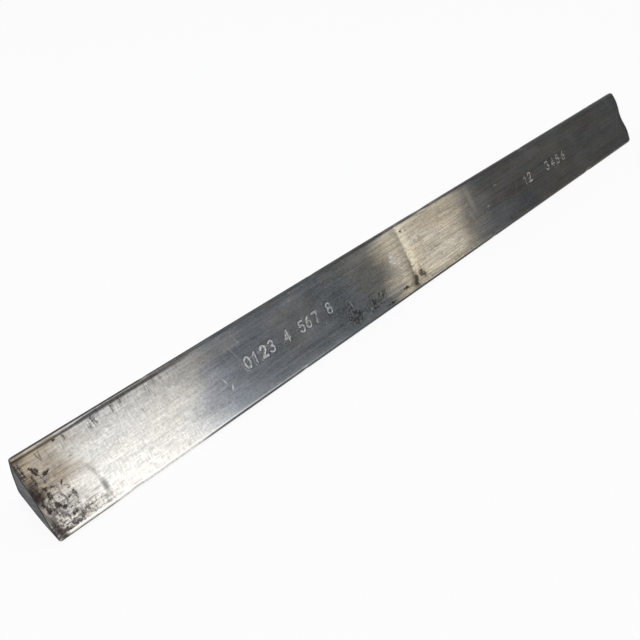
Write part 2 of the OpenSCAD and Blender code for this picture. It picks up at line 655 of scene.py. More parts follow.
# The ticks close along the near cut are painted shade at its rim; the others are dark marks
DARK_TICKS = [
    (0.028, 0.46, 0.180, 0.040, 90, 1.1),
    (0.055, 0.47, 0.220, 0.060, 90, 0.85),
    (0.045, 0.80, 0.140, 0.050, 85, 0.75),
    (0.016, 0.17, 0.200, 0.016, 90, 0.8),
    (0.016, 0.72, 0.200, 0.014, 90, 0.6),
    (0.050, 0.90, 0.120, 0.060, 75, 1.0),
    (0.090, 0.965, 0.120, 0.035, 5, 1.0),
    (0.240, 0.13, 0.100, 0.009, 80, 0.75),
    (0.265, 0.13, 0.100, 0.009, 98, 0.70),
    (0.335, 0.14, 0.110, 0.008, 90, 0.35),
    (0.49, 0.16, 0.080, 0.008, 90, 0.35),
    (0.87, 0.13, 0.120, 0.011, 88, 0.60),
    (1.09, 0.12, 0.080, 0.010, 90, 0.65),
    (1.19, 0.10, 0.060, 0.009, 90, 0.40),
    (1.38, 0.31, 0.060, 0.010, 88, 0.50),
    (1.54, 0.13, 0.070, 0.010, 92, 0.50),
    (1.71, 0.10, 0.060, 0.010, 90, 0.40),
    (0.50, 0.30, 0.035, 0.011, 5, 0.50),
    (0.20, 0.47, 0.090, 0.010, 3, 0.60),
    (0.43, 0.84, 0.080, 0.015, 0, 0.65),
    (0.47, 0.79, 0.100, 0.012, 0, 0.55),
]
print("patches", len(DIRTY_PATCHES), "ticks", len(DARK_TICKS))

# %% Stain
STAIN = (0.57, 0.485, 0.385)

clouded_across = across + 0.7 * (clouds - 0.5)
stain = fade(clouded_across, 0.32, 0.80) * (1 - 0.65 * ease(down, 0.42, 0.60)) * on_stamped_face
stain_lines = noise(face_place, (9, 0.45, 0.45), 3.0, 0.6)
stain = stain * (0.85 + 0.5 * fade(across, 0.05, 0.20) + 1.2 * lattice)
striped = (1.9 * (stain_lines - 0.5) - 0.10) * fade(down, 0.3, 0.6) * stain
# Painted shade: the stamped face darkens towards the near cut
striped = striped - 0.38 * fade(clouded_across, 0.0, 0.16) * on_stamped_face
colour = shaded(stained(stain, colour, STAIN), 1.0 + striped)
print("finish nodes with the stain", len(paint.nodes))

# %% Smears of dirt
# Painted shadow: a thin dark line just below the top edge of the near part
painted_shadow_under_edge = ease(down + 0.020 * ease(across, 0.6, 0.9), 0.036, 0.044)
painted_shadow_under_edge = painted_shadow_under_edge * fade(down, 0.050, 0.075) * fade(across, 1.6, 2.6)
end_corner = fade(clouded_across, 0.10, 0.55) * ease(down, 0.12, 0.55)
lower_strip = fade(clouded_across, 0.35, 0.85) * ease(down, 0.74, 0.86)
upright_smears = ease(noise(face_place, (0.8, 2.6, 2.6), 5.0, 0.7), 0.48, 0.60)
level_smears = ease(noise(face_place, (2.6, 0.7, 0.7), 5.0, 0.7), 0.48, 0.60)
smears = greatest(upright_smears, level_smears) * greatest(0.65 * end_corner, 0.85 * lower_strip)
print("finish nodes with smears of dirt", len(paint.nodes))

# %% Spots, specks and ticks
flakes = noise(face_place, (1.0, 1.0, 1.0), 5.0, 0.75)
specks = marks(DIRTY_PATCHES, 0.2, RAGGED_RIMS)
speckled = 0.85 * ease(specks, 0.0, 0.4) * ease(flakes + 0.16 * specks, 0.60, 0.70)
spots = ease(marks(DIRT_SPOTS, 0.3, RAGGED_RIMS) * (1 + 2.2 * (flakes - 0.5)), 0.10, 0.66)
spots = spots * (0.62 + 0.6 * flakes)
ticks = marks(DARK_TICKS, 0.2, SMOOTH_RIMS) * (0.7 + 0.5 * flakes)
print("finish nodes with spots", len(paint.nodes))

# %% Dirt over the film
END_DIRT_AND_SHADE = (0.026, 0.017, 0.017)
OLD_DIRT = (0.028, 0.019, 0.011)
thickest_dirt = 0.95

past_corner = ease(across, 0.08, 0.15)
further_along = ease(across, 2.0, 5.2)
# Dirt together with painted shade: the line under the top edge and the ticks along the near cut are shade
dirt_and_shade = greatest(spots, speckled, ticks, smears, 0.78 * painted_shadow_under_edge)
dirt_and_shade = calc(paint, "MINIMUM", dirt_and_shade, thickest_dirt)
dirt_and_shade = dirt_and_shade * (1 - past_corner * ease(down, 0.938, 0.958)) * on_stamped_face
colour = blend(dirt_and_shade, colour, blend(further_along, END_DIRT_AND_SHADE, OLD_DIRT))
mottled = specks * ease(across, 3.0, 4.0)
colour = shaded(colour, 1 - 0.15 * mottled + 2.4 * mottled * (grit - 0.5))
roughness = roughness + 0.08 * stain + 0.25 * dirt_and_shade
metallic = 1 - 0.15 * stain - 0.15 * dirt_and_shade
print("finish nodes with dirt", len(paint.nodes))

# %% [markdown]
# ### Crease
# The straw-coloured stretch has a crease across it, where the bar was knocked. Its hollow is darkened
# with painted shade, and the ridge beside it carries a painted highlight, a bright band that frays out
# along the bar. Both bands are steps along the bar whose places noise pulls to and fro. The dirt lies on
# top of them, so they leave it out.

# %% Crease
CREASE_SHADE = (0.20, 0.18, 0.152)
RIDGE_HIGHLIGHT = (0.99, 0.89, 0.69)
crease_widths = 5.66

past_crease = ragged_across + 0.12 * (noise(face_place, (30, 1.6, 1.6), 4.0, 0.65) - 0.5) - crease_widths
torn = past_crease + 0.35 * (noise(face_place, (30, 0.55, 0.55), 3.0, 0.6) - 0.5)
ridge_highlight_grain = ease(noise(face_place, (2.4, 0.6, 0.6), 4.0, 0.75), 0.40, 0.60)
clean = (1 - dirt_and_shade) * on_stamped_face
# Painted shade in the crease's hollow, and a painted highlight on the ridge beside it
painted_crease_shade = band(past_crease, -0.16, 0.0, 0.01, 0.04) * (0.3 + 0.5 * ease(down, 0.3, 0.9)) * clean
painted_ridge_highlight = ease(past_crease, 0.02, 0.05) * fade(torn, 0.08, 0.26) * (0.2 + 0.8 * ridge_highlight_grain)
painted_ridge_highlight = painted_ridge_highlight * (1 - 0.8 * ease(down, 0.6, 0.8)) * clean
colour = blend(painted_crease_shade, colour, CREASE_SHADE)
colour = blend(painted_ridge_highlight, colour, RIDGE_HIGHLIGHT)
print("finish nodes with the crease", len(paint.nodes))

# %% [markdown]
# ### Scratches and smears
# Light scratches show fresh metal as short and long lines, and a cluster of short bright marks beside the
# crease is painted glints, with a pale patch of painted sheen behind them. The other pale patches are
# places where the film is thin. A curved grey smear crosses the near part, and brown ones lie at the
# crease. These are marks again, but most of them have smooth rims, so their place is shifted only a
# little. The film ends in a dark stripe beside the far cut, and flecks of fresh metal lie among the
# specks.

# %% Scratches
SCRATCHES_AND_GLINTS = [
    (2.365, 0.55, 0.065, 0.012, 74, 0.8),
    (2.42, 0.66, 0.050, 0.014, -64, 1.0),
    (2.36, 0.36, 0.020, 0.016, 0, 0.4),
    (3.29, 0.565, 0.014, 0.012, 0, 0.6),
    (3.98, 0.65, 0.024, 0.012, -20, 0.5),
    (4.46, 0.62, 0.070, 0.014, 80, 0.45),
    (4.73, 0.83, 0.030, 0.016, 0, 0.5),
    (4.98, 0.73, 0.040, 0.012, -60, 0.5),
    # Painted glints beside the crease: the next five marks
    (5.42, 0.37, 0.055, 0.028, 10, 1.0),
    (5.39, 0.425, 0.070, 0.018, 5, 0.9),
    (5.43, 0.47, 0.055, 0.024, 20, 0.85),
    (5.44, 0.32, 0.040, 0.016, 0, 0.7),
    (5.47, 0.415, 0.040, 0.014, 0, 0.7),
    (6.04, 0.24, 0.040, 0.020, 70, 0.5),
    (5.86, 0.34, 0.060, 0.012, 0, 0.5),
    (6.20, 0.345, 0.100, 0.010, 0, 0.6),
    (6.28, 0.425, 0.180, 0.012, 0, 0.5),
    (6.63, 0.83, 0.024, 0.020, 30, 0.5),
    (6.97, 0.31, 0.045, 0.014, 0, 0.4),
    (7.20, 0.32, 0.060, 0.016, -35, 0.30),
    (7.64, 0.53, 0.040, 0.016, 8, 0.40),
    (7.97, 0.30, 0.045, 0.026, 10, 0.28),
    (3.10, 0.325, 0.800, 0.008, 0, 0.16),
    (2.95, 0.83, 0.750, 0.008, 0, 0.14),
    (2.75, 0.88, 0.500, 0.008, 0, 0.10),
    (5.98, 0.30, 0.150, 0.010, 0, 0.70),
    (6.35, 0.405, 0.250, 0.010, 0, 0.65),
    (6.50, 0.435, 0.180, 0.009, 0, 0.55),
    (6.70, 0.50, 0.200, 0.009, 0, 0.45),
    (6.25, 0.665, 0.300, 0.011, 0, 0.65),
    (6.12, 0.74, 0.220, 0.010, 0, 0.65),
    (6.62, 0.66, 0.220, 0.009, 0, 0.50),
    (5.22, 0.655, 0.160, 0.009, 0, 0.45),
]
print("scratches_and_glints", len(SCRATCHES_AND_GLINTS))

# %% Pale patches and smears
PALE_PATCHES = [
    (4.95, 0.13, 0.450, 0.150, 0, 0.12),
    # Painted sheen behind the glints beside the crease
    (5.42, 0.41, 0.160, 0.090, 90, 0.35),
    (3.75, 0.15, 0.300, 0.110, 0, 0.07),
    (7.32, 0.28, 0.330, 0.090, 88, 0.22),
    (7.22, 0.50, 0.180, 0.060, 80, 0.12),
    (10.25, 0.30, 0.280, 0.160, 60, 0.10),
    (10.35, 0.64, 0.300, 0.070, 0, 0.08),
    (9.15, 0.16, 0.350, 0.120, 0, 0.06),
    (11.0, 0.60, 0.250, 0.100, 0, 0.04),
]
GREY_SMEARS = [
    (0.615, 0.55, 0.200, 0.040, 74, 0.42),
    (0.652, 0.76, 0.140, 0.056, 88, 0.80),
    (0.575, 0.74, 0.100, 0.018, 0, 0.50),
    (0.93, 0.935, 0.110, 0.018, 0, 0.30),
    (0.60, 0.85, 0.100, 0.016, 0, 0.25),
    (5.40, 0.78, 0.075, 0.060, 0, 0.20),
    (5.66, 0.85, 0.160, 0.080, -65, 0.55),
    (5.82, 0.82, 0.130, 0.100, 20, 0.55),
    (6.62, 0.17, 0.100, 0.070, 30, 0.26),
    (6.02, 0.40, 0.120, 0.050, 20, 0.18),
    (9.92, 0.28, 0.120, 0.100, -40, 0.20),
]
print("patches", len(PALE_PATCHES), "smears", len(GREY_SMEARS))

# %% Scratches and smears over the film
GREY_SMEAR = (0.11, 0.107, 0.10)
BROWN_SMEAR = (0.115, 0.092, 0.065)
THIN_FILM = (0.80, 0.79, 0.76)
FAR_STRIPE = (0.06, 0.06, 0.06)
FRESH_TIN = (0.85, 0.83, 0.78)

grey_smears = marks(GREY_SMEARS, 0.1, SMOOTH_RIMS) * (0.7 + 0.6 * flakes)
colour = blend(grey_smears, colour, blend(further_along, GREY_SMEAR, BROWN_SMEAR))
colour = blend(marks(PALE_PATCHES, 0.0, RAGGED_RIMS), colour, THIN_FILM)
colour = blend(0.45 * on_stamped_face * ease(across, 11.75, 11.97), colour, FAR_STRIPE)
scratches_and_glints = greatest(marks(SCRATCHES_AND_GLINTS, 0.3, SMOOTH_RIMS), 0.6 * mottled * ease(grit, 0.58, 0.70))
colour = blend(scratches_and_glints, colour, FRESH_TIN)
metallic = metallic - 0.3 * scratches_and_glints - 0.75 * painted_ridge_highlight
print("finish nodes with scratches", len(paint.nodes))

# %% [markdown]
# ### Scuffs
# Bars knock and slide against each other in a box, which leaves sparse straight scuffs at odd angles on
# every face. Noise that is very thin in one direction and long in the two others is a stack of thin
# sheets, and a face shows a line wherever it cuts one of the strongest sheets. Hands leave brown stains
# on the other two faces, most of them near the near end.


# %% Scuffs
def scuffs(turn, lean, start):
    """Sparse straight lines on all faces, from noise sheets that are turned and leant by these angles."""
    turned = (math.radians(lean), 0, math.radians(turn))
    sheets = out(add_node(paint, "ShaderNodeMapping", {"Vector": place, "Rotation": turned}))
    return ease(noise(sheets, (24, 0.22, 24), 1.0, 0.5, start=start), 0.72, 0.78)


HAND_STAIN = (0.50, 0.43, 0.36)
LIGHT_SCUFF = (0.85, 0.84, 0.82)
DARK_SCUFF = (0.10, 0.10, 0.10)

light_scuffs = greatest(scuffs(28, 20, (1.0, 2.0, 3.0)), scuffs(-50, -35, (9.0, 4.0, 6.0)))
dark_scuffs = scuffs(75, 10, (3.0, 8.0, 5.0))
other_faces_only = 1 - on_stamped_face
handled = other_faces_only * ease(streaks + 0.5 * clouds, 0.80, 0.98)
handled = handled * (0.35 + 0.65 * fade(clouded_across, 0.3, 1.6))
colour = stained(handled, colour, HAND_STAIN)
colour = blend((0.15 + 0.35 * other_faces_only) * light_scuffs, colour, LIGHT_SCUFF)
colour = blend((0.10 + 0.30 * other_faces_only) * dark_scuffs, colour, DARK_SCUFF)
print("finish nodes with scuffs", len(paint.nodes))

# %% [markdown]
# ### Edges
# The rounded long edges are painted dark: partly grime and partly painted shade. Near the bright end a
# thin line along their crown is left lighter as a painted highlight, a stretch of the bottom edge of the
# stamped face is left without the dark paint as painted light, and a thin bright line just above that
# edge is a painted highlight too. The distance from the bar's axis tells how far out on an edge a place
# is: it is greatest on the crown, so the crown's own distance is taken off, and the rest is zero there
# and negative inside.

# %% Edges
EDGE_HIGHLIGHT = (0.82, 0.81, 0.79)
GRIME_AND_SHADE = (0.05, 0.05, 0.048)
crown_reach = 2 * face_reach - edge_r

sideways = dot(place, (0, 1, 0))
upwards = dot(place, (0, 0, 1)) - face_reach
to_crown = calc(paint, "SQRT", sideways * sideways + upwards * upwards) - crown_reach
grime_and_shade_start = -0.19 * MM - 0.27 * MM * ease(across, 1.4, 2.4)
# Painted light: part of the bottom edge of the stamped face is left without the dark paint
lit_bottom_edge = band(across, 0.6, 0.8, 1.65, 1.95) * ease(down, 0.8, 0.9) * on_stamped_face
# Painted highlight: a thin lighter line along the crown near the bright end
crown_highlight = band(to_crown, -0.21 * MM, -0.14 * MM, -0.10 * MM, -0.03 * MM) * fade(across, 1.6, 2.6)
# Grime and painted shade on the rounded edges
grime_and_shade = ease(to_crown - grime_and_shade_start, 0.0, 0.12 * MM) * (0.72 + 0.6 * clouds) * (1 - lit_bottom_edge)
grime_and_shade = grime_and_shade * (0.3 + 0.7 * on_stamped_face) * (1 - 0.42 * crown_highlight)
grime_and_shade = grime_and_shade * (1 - 0.12 * slate - 0.10 * straw * fade(down, 0.3, 0.5))
# Painted highlight: a thin bright line just above the bottom edge
painted_edge_highlight = band(down, 0.942, 0.950, 0.960, 0.968) * fade(clouded_across, 3.0, 4.5)
colour = blend(0.7 * painted_edge_highlight * past_corner * on_stamped_face, colour, EDGE_HIGHLIGHT)
colour = blend(grime_and_shade, colour, GRIME_AND_SHADE)
roughness = roughness + 0.15 * grime_and_shade
metallic = metallic - 0.35 * grime_and_shade
print("finish nodes with edges", len(paint.nodes))

# %% [markdown]
# ### Cuts and strokes
# The two cut ends are dull and grey, with lines that the blade dragged over them and a dark rim of
# painted shade. The punched strokes show crushed, frosty metal, which scatters light, so they stay pale
# where the face around them mirrors something dark; their paleness is partly painted highlight, their
# uneven brightness is partly painted glints, and a ring of painted shadow lies round them. The bar's own
# tree tells where cuts and strokes are, with attributes on its points.

# %% Cuts
CUT_DARK = (0.06, 0.062, 0.066)
CUT_LIGHT = (0.14, 0.143, 0.15)
CUT_RIM_SHADE = (0.018, 0.018, 0.018)

cut_depth = out(add_node(paint, "ShaderNodeAttribute", attribute_name="cut_depth"), "Fac")
cut = ease(cut_depth, 0.1 * MM, 0.3 * MM)
# Painted shade: the dark rim of each cut
painted_cut_rim_shade = band(cut_depth, 0.02 * MM, 0.15 * MM, 0.5 * MM, 2.6 * MM)
drag_lines = noise(face_place, (6, 1.1, 14), 4.0, 0.7)
colour = blend(cut, colour, blend(ease(drag_lines, 0.35, 0.65), CUT_DARK, CUT_LIGHT))
colour = blend(0.9 * painted_cut_rim_shade, colour, CUT_RIM_SHADE)
roughness = roughness + 0.6 * cut
metallic = metallic - 0.35 * cut
print("finish nodes with cuts", len(paint.nodes))

# %% Strokes
STRUCK_TIN_AND_HIGHLIGHT = (0.95, 0.92, 0.83)
STROKE_SHADE = (0.03, 0.03, 0.03)

stamp = out(add_node(paint, "ShaderNodeAttribute", attribute_name="stamp"), "Fac")
# Uneven brightness along the strokes, partly painted glints
strike_and_glint = 0.25 + 0.75 * ease(noise(face_place, (0.9, 0.9, 0.9), 3.0), 0.38, 0.60)
strike_and_glint = strike_and_glint * (1 - 0.12 * ease(across, 3.0, 3.3)) * (1 - 0.5 * ease(across, 9.3, 9.9))
# Pale strokes: partly fresh crushed metal, partly painted highlight
stroke = ease(stamp, 0.60, 0.78) * strike_and_glint
# Painted shadow: a dark ring round each stroke
painted_stroke_shadow = band(stamp, 0.14, 0.38, 0.56, 0.72)
colour = blend(0.6 * painted_stroke_shadow * (1 - bare), colour, STROKE_SHADE)
colour = blend(stroke, colour, STRUCK_TIN_AND_HIGHLIGHT)
roughness = roughness + 0.15 * stroke
metallic = metallic - 0.7 * stroke
print("finish nodes with strokes", len(paint.nodes))

# %% [markdown]
# ### Relief of the finish
# Lines and grain are too fine for the mesh, so they are bumps: the finish says how high each place is,
# and the shader tilts the light to match. A bump works everything below it out three times, to measure
# the slope, so only the noise goes into it and not the long lists of marks. The roughness is kept from
# falling further than the polish of drawn tin.

# %% Relief of the finish
smoothest = 0.285
bump_strength = 0.6

relief = 0.03 * MM * long_lines + 0.02 * MM * fine_lines + 0.02 * MM * bare * lattice
relief = relief + 0.015 * MM * grit + 0.25 * MM * cut * drag_lines - 0.02 * MM * light_scuffs
bump = add_node(paint, "ShaderNodeBump", {"Height": relief, "Strength": bump_strength, "Distance": 1.0})

plug(paint, colour, shader.inputs["Base Color"])
plug(paint, greatest(roughness, smoothest), shader.inputs["Roughness"])
plug(paint, metallic, shader.inputs["Metallic"])
plug(paint, out(bump), shader.inputs["Normal"])
print("finish nodes", len(paint.nodes))

# %% [markdown]
# ## The bar
# A bar is a section that is carried along a line, so its surface is a sheet of rows and columns: rows
# run along the bar, and columns run round the section. The tree starts from a flat grid, reads which
# row and column a point is in, and sends it to its place. The rows begin in the middle of the near end,
# spread out over the cut, turn over its rim, run along the bar, and close over the far end in the same
# way, so the whole bar is one closed sheet. Rows and columns lie close together only where the numbers
# are, because fine grooves need small faces and the rest of the bar doesn't.

# %% Rows and columns
rim_r = 0.35 * MM
rim_keep = 1 - rim_r / face_reach
plain_step = 0.8 * MM
stroke_step = 0.17 * MM
stamp_margin = 1.0 * MM
digit_w = 0.6 * digit_h

# Where each zone of rows starts along the bar, and the step between its rows
row_places = [(-half_length + rim_r, plain_step)]
for punched in (MIDDLE_ROW, FAR_ROW):
    row_places.append((along(punched[0][1]) - stamp_margin, stroke_step))
    row_places.append((along(punched[-1][1]) + digit_w + stamp_margin, plain_step))
body_end = half_length - rim_r
row_zones = []
for (start, step), (end, _) in zip(row_places, row_places[1:] + [(body_end, 0)]):
    row_zones.append((end - start, round((end - start) / step)))
cap_rows = 22
rim_rows = 5

stamp_top = row_base_s + digit_h + stamp_margin
stamp_bottom = row_base_s - stamp_margin
arc_length = edge_r * math.radians(120)
edge_columns = 8
above_stamp_columns = 16
below_stamp_columns = 15
underside_columns = 16
back_columns = 20

# Length of each zone round the section, from the top edge down the stamped face, and its columns
column_zones = [
    (arc_length, edge_columns),
    (core_side / 2 - stamp_top, above_stamp_columns),
    (stamp_top - stamp_bottom, round((stamp_top - stamp_bottom) / stroke_step)),
    (core_side / 2 + stamp_bottom, below_stamp_columns),
    (arc_length, edge_columns),
    (core_side, underside_columns),
    (arc_length, edge_columns),
    (core_side, back_columns),
]
rows = 2 * cap_rows + 2 * rim_rows + sum(count for _, count in row_zones) + 1
columns = sum(count for _, count in column_zones) + 1
print("rows", rows, "columns", columns, "triangles about", 2 * (rows - 1) * (columns - 1))

# %% [markdown]
# ### Inputs of the tree
# Sizes that someone may want to change are named inputs of the tree, so they can be moved on the
# modifier without touching the nodes. The sizes of the cut ends are those of the solid part.

# %% Inputs of the tree
INPUTS = {
    "Half Length": half_length,
    "Edge Radius": edge_r,
    "Face Reach": face_reach,
    "Half Width": face_w / 2,
    "Near Hollow": 0.2 * MM,
    "Near Corner": 0.5 * MM,
    "Far Hollow": 1.1 * MM,
    "Far Corner": 1.4 * MM,
    "Lobe Distance": 7.1 * MM,
    "Cut Lean": math.tan(math.radians(1.0)),
    "Rim Radius": rim_r,
    "Rim Keep": rim_keep,
    "Stroke Width": 0.40 * MM,
    "Stroke Depth": 0.28 * MM,
    "Wave Height": 0.14 * MM,
    "Die Line Height": 0.012 * MM,
    "Crease Place": along(crease_widths),
    "Crease Depth": 0.04 * MM,
    "Knocks": 1.0,
}
print("inputs of the bar's tree", len(INPUTS))

# %% [markdown]
# ### Section and rows
# The section is a triangle curve with filleted corners, and each column is a length along that curve.
# A row takes the whole section along the body, less of it round a rim, and none in the middle of an
# end. Map Range nodes turn the number of a row into each of these shares.


# %% Section and rows
QUARTER_TURN = math.pi / 2
fillet_points = 24


def spread(index, zones, first=0):
    """Length that has been covered at this row or column, when each zone shares its length evenly."""
    total = 0.0
    for length, count in zones:
        total = total + length * share(index, first, first + count)
        first += count
    return total


def section_point(tree, size, column):
    """The point of the section that a column stands for, as a node with its parts."""
    triangle = add_node(
        tree,
        "GeometryNodeCurvePrimitiveCircle",
        {"Resolution": 3, "Radius": 2 * size["Face Reach"]},
        mode="RADIUS",
    )
    rounded = add_node(tree, "GeometryNodeFilletCurve", mode="POLY")
    plug(tree, out(triangle), rounded.inputs["Curve"])
    plug(tree, size["Edge Radius"], rounded.inputs["Radius"])
    rounded.inputs["Count"].default_value = fillet_points
    section = add_node(tree, "GeometryNodeSampleCurve", mode="LENGTH")
    plug(tree, out(rounded), section.inputs["Curves"])
    plug(tree, spread(column, column_zones), section.inputs["Length"])
    return add_node(tree, "ShaderNodeSeparateXYZ", {"Vector": out(section, "Position")})


def swept_place(tree, size, row, section):
    """The place of a point before the ends are cut, and the share of the section that its row keeps."""
    body_first = cap_rows + rim_rows
    body_last = body_first + sum(count for _, count in row_zones)
    near_cap = share(row, 0, cap_rows)
    near_rim = share(row, cap_rows, body_first) * QUARTER_TURN
    far_rim = share(row, body_last, body_last + rim_rows) * QUARTER_TURN
    far_cap = share(row, rows - 1 - cap_rows, rows - 1)
    grown = near_cap - far_cap
    turned = calc(tree, "SINE", near_rim) - 1.0 + calc(tree, "COSINE", far_rim)
    keep = size["Rim Keep"] * grown + (1 - size["Rim Keep"]) * turned
    rounding = size["Rim Radius"] * (1 - calc(tree, "COSINE", near_rim) + calc(tree, "SINE", far_rim))
    x = rounding - size["Half Length"] + spread(row, row_zones, body_first)
    y = -1.0 * keep * out(section, "Y")
    z = size["Face Reach"] + keep * out(section, "X")
    return x, y, z, keep


print("rows in each cap", cap_rows, "and in each rim", rim_rows)

# %% [markdown]
# ### Cut ends
# A shear cut both ends. Seen square to the stamped face, each is hollow in the middle, with a lobe on
# both sides and rounded corners, and both cuts lean the same way. The tree pulls the last stretch of
# the bar into that shape, and fades the pull out, so that no row runs over its neighbour.

# %% Cut ends
cut_pull = 12 * MM


def with_cut_ends(tree, size, x, y, z):
    """The X of a point after both ends have been cut."""
    s = 0.5 * y + SIN60 * (z - size["Face Reach"])
    depth = size["Face Reach"] + SIN60 * y - 0.5 * (z - size["Face Reach"])
    swing = calc(tree, "COSINE", s * QUARTER_TURN / size["Lobe Distance"])

    def inset(hollow, corner):
        """How far an end lies inside the full length."""
        past = greatest(calc(tree, "ABSOLUTE", s) - (size["Half Width"] - corner), 0.0)
        left = greatest(corner * corner - past * past, 0.0)
        return hollow * swing * swing + corner - calc(tree, "SQRT", left)

    near_pull = ease(-1.0 * x, size["Half Length"] - cut_pull, size["Half Length"])
    far_pull = ease(x, size["Half Length"] - cut_pull, size["Half Length"])
    lean = size["Cut Lean"] * depth
    x = x + near_pull * (inset(size["Near Hollow"], size["Near Corner"]) - lean)
    return x - far_pull * (inset(size["Far Hollow"], size["Far Corner"]) + lean)


print("the cuts reach", round(cut_pull / MM), "mm along the bar")

# %% [markdown]
# ### Punched strokes
# A punch pushes metal aside, so a stroke is a groove with a slight lip beside it. Cutting grooves out
# with a boolean would leave long thin faces, so the tree measures how far each point is from the nearest
# stroke and moves the point by that distance.

# %% Punched strokes
lip_share = 0.16


def stroke_distance(tree, size):
    """How far a point lies from the nearest stroke, in stroke widths."""
    punch = add_node(
        tree, "GeometryNodeObjectInfo", {"Object": size["Strokes"]}, transform_space="RELATIVE"
    )
    wires = add_node(tree, "GeometryNodeCurveToMesh", {"Curve": out(punch, "Geometry")})
    nearest = add_node(tree, "GeometryNodeProximity", target_element="EDGES")
    plug(tree, out(wires), nearest.inputs["Geometry"])
    return out(nearest, "Distance") / size["Stroke Width"]


def stroke_height(size, off):
    """How far the metal stands up beside a stroke, or lies low in it."""
    groove = fade(off, 0.25, 1.0)
    lip = band(off, 0.8, 1.15, 1.15, 1.9)
    return size["Stroke Depth"] * (lip_share * lip - groove)


print("strokes are pressed in by", round(INPUTS["Stroke Depth"] / MM, 2), "mm")

# %% [markdown]
# ### Unevenness and knocks
# Drawn metal is never quite flat: slow waves run over it, and the die leaves lines along it. A crease
# crosses the stamped face, and soft tin takes knocks, most of all on its edges. Noise gives waves and
# lines, and each knock is an oval that presses the metal in.

# %% Unevenness
crease_wander = 2 * MM
valley_reach = 1.6 * MM
ridge_place = 2.6 * MM
ridge_reach = 2.2 * MM


def drawn_height(tree, size, here, here_x, normal):
    """How far waves, die lines and the crease raise the metal or lower it."""
    waves = size["Wave Height"] * (noise(here, (45, 13, 13)) - 0.5)
    die_lines = size["Die Line Height"] * (noise(here, (500, 1.5, 1.5), 1.0) - 0.5)
    from_crease = here_x - size["Crease Place"] + crease_wander * (noise(here, (9, 9, 9)) - 0.5)
    valley = fade(calc(tree, "ABSOLUTE", from_crease), 0.0, valley_reach)
    ridge = fade(calc(tree, "ABSOLUTE", from_crease - ridge_place), 0.0, ridge_reach)
    faces_front = ease(dot(normal, face_out), 0.2, 0.9)
    return waves + die_lines + size["Crease Depth"] * (0.8 * ridge - valley) * faces_front


print("waves are", round(INPUTS["Wave Height"] / MM, 2), "mm high")

# %% Knocks
top_edge = (0.0, box_high.z)
front_edge = (box_low.y, 0.5 * edge_r)
back_edge = (box_high.y, 0.5 * edge_r)
back_face = (face_w / 4, 0.5 * box_high.z)

# Face widths from the near end, place in the section, and half the length, half the width and depth in mm
KNOCKS = [
    (0.93, front_edge, 3.0, 1.6, 0.22),
    (6.30, top_edge, 6.0, 1.8, 0.22),
    (1.56, top_edge, 1.8, 1.2, 0.14),
    (4.12, top_edge, 2.2, 1.3, 0.16),
    (8.90, top_edge, 3.0, 1.4, 0.18),
    (11.1, top_edge, 2.0, 1.2, 0.15),
    (3.42, front_edge, 2.0, 1.2, 0.15),
    (7.52, front_edge, 2.2, 1.2, 0.16),
    (10.4, front_edge, 3.0, 1.5, 0.20),
    (2.25, back_edge, 2.6, 1.4, 0.18),
    (5.15, back_edge, 4.0, 1.6, 0.22),
    (9.60, back_edge, 2.2, 1.3, 0.16),
    (3.05, back_face, 2.4, 1.8, 0.12),
    (7.85, back_face, 3.4, 2.0, 0.14),
]


def knock_depth(tree, here_at):
    """How far the knocks press the metal in at a point."""
    total = 0.0
    for widths, (knock_y, knock_z), half_long, half_wide, depth in KNOCKS:
        off_x = (out(here_at, "X") - along(widths)) / (half_long * MM)
        off_y = (out(here_at, "Y") - knock_y) / (half_wide * MM)
        off_z = (out(here_at, "Z") - knock_z) / (half_wide * MM)
        reach = calc(tree, "SQRT", off_x * off_x + off_y * off_y + off_z * off_z)
        total = total + depth * MM * fade(reach, 0.0, 1.0)
    return total


print("knocks", len(KNOCKS))

# %% [markdown]
# ### The tree
# The parts come together here: the flat grid is moved to its swept place, turned so that its faces
# point outwards, closed at the seam and at both ends, pushed in and out along its normals, and told
# where its strokes and cuts are. The share of the section that a row keeps gives the depth from the rim
# of a cut, and it is kept as an attribute before the points move.

# %% Closed sheet
seam_gap = 0.002 * MM


def swept_sheet(tree, size):
    """The closed sheet of the bar, and how deep inside a cut each of its points is."""
    grid = add_node(
        tree,
        "GeometryNodeMeshGrid",
        {"Size X": rows - 1.0, "Size Y": columns - 1.0, "Vertices X": rows, "Vertices Y": columns},
    )
    # One unit between the grid's points, so that a point's place gives its row and column
    flat_place = out(tree.nodes.new("GeometryNodeInputPosition"))
    flat = add_node(tree, "ShaderNodeSeparateXYZ", {"Vector": flat_place})
    row = out(flat, "X") + (rows - 1) / 2
    column = out(flat, "Y") + (columns - 1) / 2
    x, y, z, keep = swept_place(tree, size, row, section_point(tree, size, column))
    x = with_cut_ends(tree, size, x, y, z)

    kept = add_node(tree, "GeometryNodeCaptureAttribute", {"Geometry": out(grid)})
    kept.capture_items.new("FLOAT", "Cut Depth")
    plug(tree, (1 - keep) * size["Face Reach"], kept.inputs["Cut Depth"])
    place = add_node(tree, "ShaderNodeCombineXYZ", {"X": x, "Y": y, "Z": z})
    swept = add_node(tree, "GeometryNodeSetPosition", {"Geometry": out(kept), "Position": out(place)})
    outward = add_node(tree, "GeometryNodeFlipFaces", {"Mesh": out(swept)})
    seam = {"Geometry": out(outward), "Distance": seam_gap}
    return add_node(tree, "GeometryNodeMergeByDistance", seam), out(kept, "Cut Depth")


print("the sheet is closed across gaps of up to", seam_gap / MM, "mm")

# %% Tree of the bar
# How far from a stroke its mark on the finish reaches, in stroke widths
stamp_reach = 2.2


